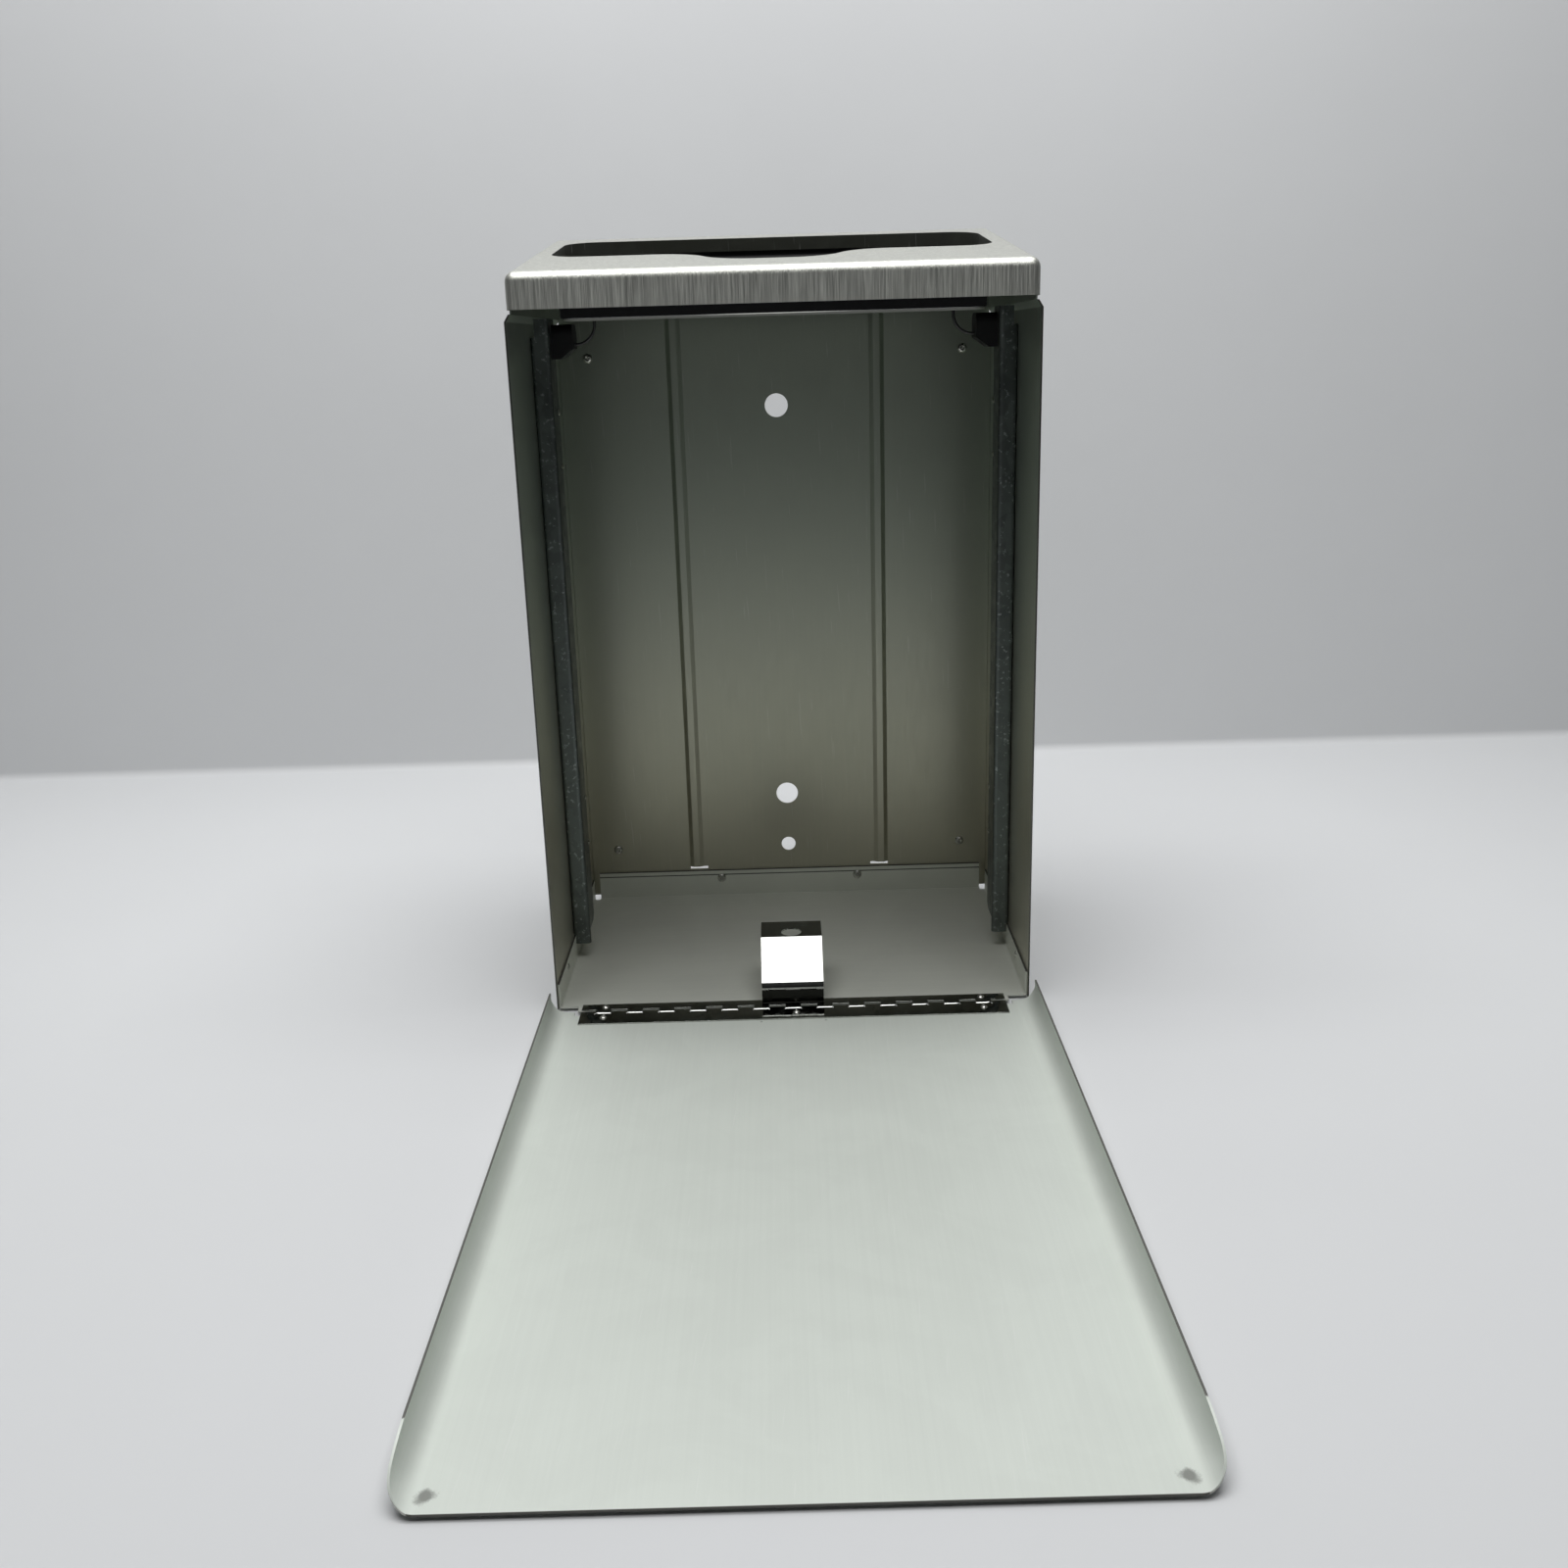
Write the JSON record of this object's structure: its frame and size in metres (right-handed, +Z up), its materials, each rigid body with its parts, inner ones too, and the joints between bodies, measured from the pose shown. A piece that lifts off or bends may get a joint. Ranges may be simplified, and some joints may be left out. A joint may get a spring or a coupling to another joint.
{
  "type": "wall-mounted drop box",
  "caption": "Wall-mounted sheet-steel drop box with a sloping slotted hood, a sprung trap flap under the slot and a front door that folds down on a piano hinge.",
  "frame": {"origin": "centre of the floor pan's flat underside, between the front edges of the side walls and the wall plane", "axes": "+X to the right seen from the front, +Y from the door towards the wall, +Z up; the door lies open along -Y"},
  "size_m": [0.3064, 0.624, 0.4753],
  "materials": {
    "casing_steel": "dull mill-finish stainless sheet",
    "hood_steel": "brushed stainless sheet, fine grain",
    "door_steel": "satin stainless sheet",
    "rail_steel": "dull galvanised, slightly mottled",
    "polished_steel": "mirror polished stainless",
    "rivet_steel": "bright domed rivets",
    "black_plastic": "satin black moulding",
    "spring_wire": "dark spring wire"
  },
  "bodies": {
    "casing": {"back_panel": "casing_steel", "bottom_pan": "casing_steel", "side_wall_left": "casing_steel", "side_wall_right": "casing_steel", "hood": "hood_steel", "drop_chute": "black_plastic", "hinge_body_leaf": "polished_steel", "hinge_pin": "polished_steel", "floor_clip": "polished_steel", "back_panel_rivets": "rivet_steel", "hood_rivets": "rivet_steel", "pan_back_rivets": "rivet_steel", "pan_side_rivets": "rivet_steel", "hinge_body_rivets": "rivet_steel", "clip_rivet": "rivet_steel", "rail_buttons_right": "rivet_steel", "rail_buttons_left": "rivet_steel", "pivot_block_rivets": "rivet_steel", "rail_right": "rail_steel", "rail_left": "rail_steel", "pivot_block_right": "black_plastic", "pivot_block_left": "black_plastic", "flap_spring_right": "spring_wire", "flap_spring_left": "spring_wire"},
    "door": {"door_panel": "door_steel", "hinge_door_leaf": "polished_steel", "hinge_door_rivets": "rivet_steel"},
    "flap": {"drop_flap": "hood_steel", "flap_arm_left": "spring_wire", "flap_arm_right": "spring_wire"}
  },
  "joints": [
    {"name": "door_hinge", "type": "hinge", "parent": "casing", "child": "door", "pos_m": [0, -0.108, -0.00005], "axis": [-1, 0, 0], "range_deg": [0, 90]},
    {"name": "flap_pivot", "type": "hinge", "parent": "casing", "child": "flap", "pos_m": [0, 0.001, 0.4054], "axis": [1, 0, 0], "range_deg": [0, 75], "stiffness_Nm_per_rad": 0.09, "springref_deg": -51.57}
  ]
}
